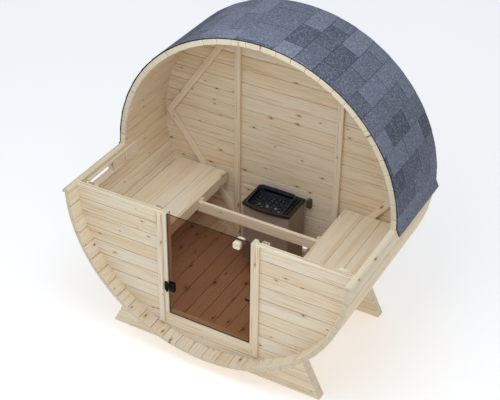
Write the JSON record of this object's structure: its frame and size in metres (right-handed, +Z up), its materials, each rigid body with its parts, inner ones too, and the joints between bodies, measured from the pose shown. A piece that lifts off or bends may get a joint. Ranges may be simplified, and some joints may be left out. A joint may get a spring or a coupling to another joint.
{
  "type": "barrel sauna cutaway",
  "caption": "Wooden barrel sauna with benches, heater, glass door and shingle roof, shown with the upper front part of its shell left off so that the inside is open to view.",
  "frame": {"origin": "on the ground under the middle of the barrel", "axes": "+Z up, Y along the barrel with the door on the -Y end, X across"},
  "size_m": [2.1044, 1.3, 2.1512],
  "materials": {
    "wood": "planed pale spruce with knots",
    "shingle": "blue-grey mineral granules on bitumen felt",
    "glass": "bronze tinted toughened glass",
    "black_metal": "satin black",
    "heater_steel": "satin taupe enamel",
    "heater_black": "satin black",
    "stone": "rough dark stone",
    "sensor_plastic": "matt dark brown"
  },
  "bodies": {
    "barrel": {"staves_bottom_left": "wood", "staves_bottom_right": "wood", "staves_lower_left": "wood", "staves_lower_right": "wood", "staves_side_left": "wood", "staves_side_right": "wood", "stave_cut_left": "wood", "stave_cut_right": "wood", "staves_rear_left": "wood", "staves_shoulder_left": "wood", "staves_crown": "wood", "staves_shoulder_right": "wood", "staves_rear_right": "wood", "roof_left": "shingle", "roof_crown": "shingle", "roof_right": "shingle", "front_cradle": "wood", "rear_cradle": "wood", "front_wall_left": "wood", "front_wall_right": "wood", "front_wall_bottom": "wood", "back_wall_lower": "wood", "back_wall_upper": "wood", "back_battens": "wood", "back_braces_low": "wood", "back_braces_high": "wood", "front_battens": "wood", "front_braces": "wood", "door_jambs": "wood", "door_sill": "wood", "casings": "wood", "bench_boards_left": "wood", "bench_boards_right": "wood", "bench_fascias": "wood", "bench_bearers": "wood", "side_rails": "wood", "guard_rail": "wood", "guard_cleats": "wood", "heater_body": "heater_steel", "heater_top": "heater_black", "heater_stones": "stone", "heater_bracket": "heater_black", "sensor_box": "sensor_plastic", "vent_guides": "wood", "hinge_jamb": "black_metal"},
    "door": {"door_glass": "glass", "hinge_clamp": "black_metal", "door_knobs": "wood", "door_catch": "black_metal"},
    "vent": {"vent_cover": "wood"}
  },
  "joints": [
    {"name": "door_hinge", "type": "hinge", "parent": "barrel", "child": "door", "pos_m": [-0.3075, -0.5665, 0.536], "axis": [0, 0, -1], "range_deg": [0, 110]},
    {"name": "vent_slide", "type": "slide", "parent": "barrel", "child": "vent", "axis": [0, -1, 0], "range_m": [0, 0.286]}
  ]
}
